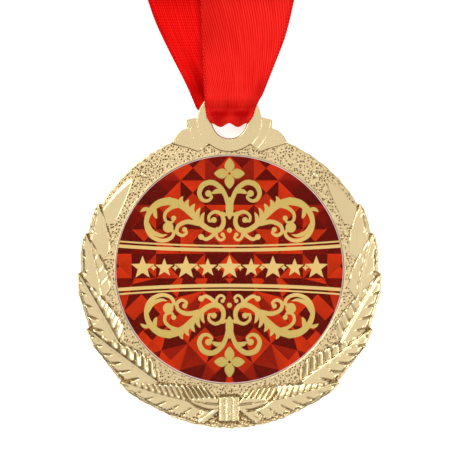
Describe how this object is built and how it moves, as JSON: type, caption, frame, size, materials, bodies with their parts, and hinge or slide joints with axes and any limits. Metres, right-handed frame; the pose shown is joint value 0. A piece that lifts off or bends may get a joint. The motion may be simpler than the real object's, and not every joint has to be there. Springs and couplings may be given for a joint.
{
  "type": "medal on a ribbon",
  "caption": "Round gold-coloured souvenir medal with a laurel wreath rim, a printed centre label and a red satin neck ribbon folded into a flat hank.",
  "frame": {"origin": "centre of the medal's flat back face, on the surface that it lies on", "axes": "+Z out of the medal's face, +Y from the medal's centre to its lug, +X to the right as the face is read"},
  "size_m": [0.0664, 0.1207, 0.0087],
  "materials": {
    "gold_plate": "pale gold electroplate on a die casting, bright on the wreath and the lug, finely grained in the field",
    "adhesive": "clear pressure-sensitive adhesive",
    "printed_foil": "red faceted print with gold ornament on a metallised film",
    "clear_film": "clear gloss laminate",
    "red_satin": "red polyester satin, glossy on the face and matte on the back",
    "paper": "uncoated paper strip",
    "red_thread": "spun polyester sewing thread"
  },
  "bodies": {
    "ribbon": {"ribbon_front_band": "red_satin", "ribbon_back_band": "red_satin", "ribbon_hank": "red_satin", "paper_band": "paper", "seam_thread_outer": "red_thread", "seam_thread_inner": "red_thread"},
    "bight": {"ribbon_bight": "red_satin"},
    "medal": {"medal_body": "gold_plate", "label_adhesive": "adhesive", "label_foil": "printed_foil", "label_film": "clear_film"}
  },
  "joints": [
    {"name": "medal_swing", "type": "hinge", "parent": "ribbon", "child": "bight", "pos_m": [0, 0.0445, 0.0018], "axis": [-1, 0, 0], "range_deg": [0, 90]},
    {"name": "medal_tilt", "type": "hinge", "parent": "bight", "child": "medal", "pos_m": [0, 0.0346, 0.002], "axis": [0, 0, 1], "range_deg": [-15, 15]}
  ]
}
